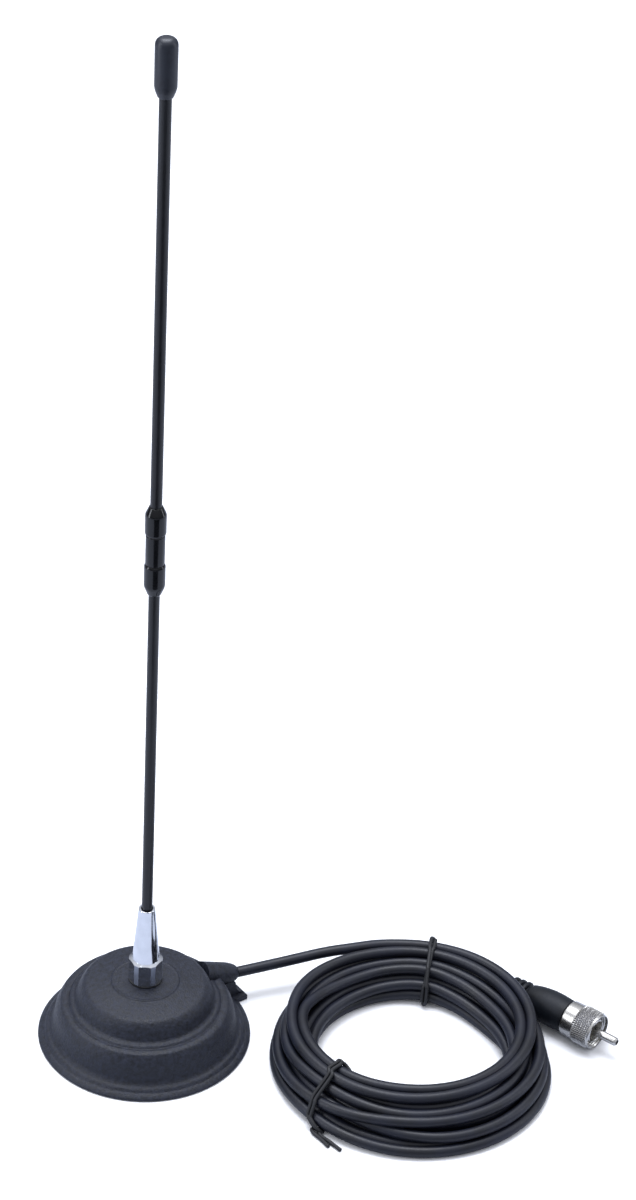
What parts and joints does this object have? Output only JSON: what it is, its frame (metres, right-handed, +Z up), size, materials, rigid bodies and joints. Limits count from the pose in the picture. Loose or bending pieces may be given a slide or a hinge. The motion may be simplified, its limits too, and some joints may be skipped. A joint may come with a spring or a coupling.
{
  "type": "magnetic-mount whip antenna",
  "caption": "Two-section whip antenna on a round magnetic base, with a coiled coaxial lead and a threaded RF plug.",
  "frame": {"origin": "centre of the base's resting face, under the whip's axis", "axes": "+Z up along the whip, -Y towards the viewer's side, +X towards the coiled lead"},
  "size_m": [0.2626, 0.1348, 0.4832],
  "materials": {
    "cover_rubber": "fine moulded texture",
    "pad_rubber": "smooth sheet",
    "cup_steel": "black paint",
    "ferrite": "sintered, dark grey",
    "brass": "turned",
    "nylon": "moulded",
    "tinned_copper": "tinned",
    "zinc_steel": "zinc plated",
    "copper": "bare copper wire",
    "cable_jacket": "satin PVC",
    "tie_plastic": "matt PVC over wire",
    "seal_rubber": "smooth",
    "chrome": "polished plate",
    "glass_fibre": "pultruded rod",
    "whip_sleeve": "satin shrink sleeve",
    "joint_black": "gloss black plate",
    "cap_rubber": "smooth moulded",
    "boot_rubber": "satin moulded",
    "nickel": "nickel plate",
    "insulator_plastic": "moulded"
  },
  "bodies": {
    "base": {"base_cover": "cover_rubber", "foot_pad": "pad_rubber", "steel_cup": "cup_steel", "ring_magnet": "ferrite", "mount_stud": "brass", "lower_insulator": "nylon", "upper_insulator": "nylon", "solder_lug": "tinned_copper", "stud_nut": "brass", "thrust_collar": "brass", "ground_lug": "tinned_copper", "ground_screw": "zinc_steel", "cable_entry": "cable_jacket", "strain_collar": "brass", "centre_wire": "copper", "braid_pigtail": "tinned_copper", "cable_lead": "cable_jacket", "cable_coil": "cable_jacket", "cable_tail": "cable_jacket", "rear_tie": "tie_plastic", "front_tie": "tie_plastic", "plug_boot": "boot_rubber", "plug_body": "nickel", "reducing_adapter": "nickel", "plug_insulator": "insulator_plastic", "centre_pin": "nickel", "plug_cable_end": "cable_jacket"},
    "gasket": {"ferrule_gasket": "seal_rubber"},
    "lower_whip": {"whip_ferrule": "chrome", "lower_core": "glass_fibre", "lower_winding": "copper", "lower_sleeve": "whip_sleeve", "lower_joint_ferrule": "joint_black", "joint_union": "joint_black"},
    "seal": {"joint_o_ring": "seal_rubber"},
    "upper_whip": {"joint_stud": "brass", "upper_joint_ferrule": "joint_black", "upper_core": "glass_fibre", "upper_winding": "copper", "upper_sleeve": "whip_sleeve", "tip_cap": "cap_rubber"},
    "ring": {"coupling_ring": "nickel"}
  },
  "joints": [
    {"name": "gasket_lift", "type": "slide", "parent": "base", "child": "gasket", "axis": [0, 0, 1], "range_m": [0, 0.0085]},
    {"name": "whip_unscrew", "type": "hinge", "parent": "gasket", "child": "lower_whip", "pos_m": [0, 0, 0.032], "axis": [0, 0, 1], "range_deg": [0, 3062]},
    {"name": "seal_lift", "type": "slide", "parent": "lower_whip", "child": "seal", "axis": [0, 0, 1], "range_m": [0, 0.0056]},
    {"name": "upper_whip_unscrew", "type": "hinge", "parent": "seal", "child": "upper_whip", "pos_m": [0, 0, 0.265], "axis": [0, 0, 1], "range_deg": [0, 2522]},
    {"name": "ring_spin", "type": "hinge", "parent": "base", "child": "ring", "pos_m": [0.1926, 0.0156, 0.0091], "axis": [0.7986, -0.6018, 0], "continuous": true}
  ],
  "couplings": [
    {"joint": "whip_unscrew", "follows": "gasket_lift", "rad_per_m": 6283.2},
    {"joint": "upper_whip_unscrew", "follows": "seal_lift", "rad_per_m": 7854}
  ]
}
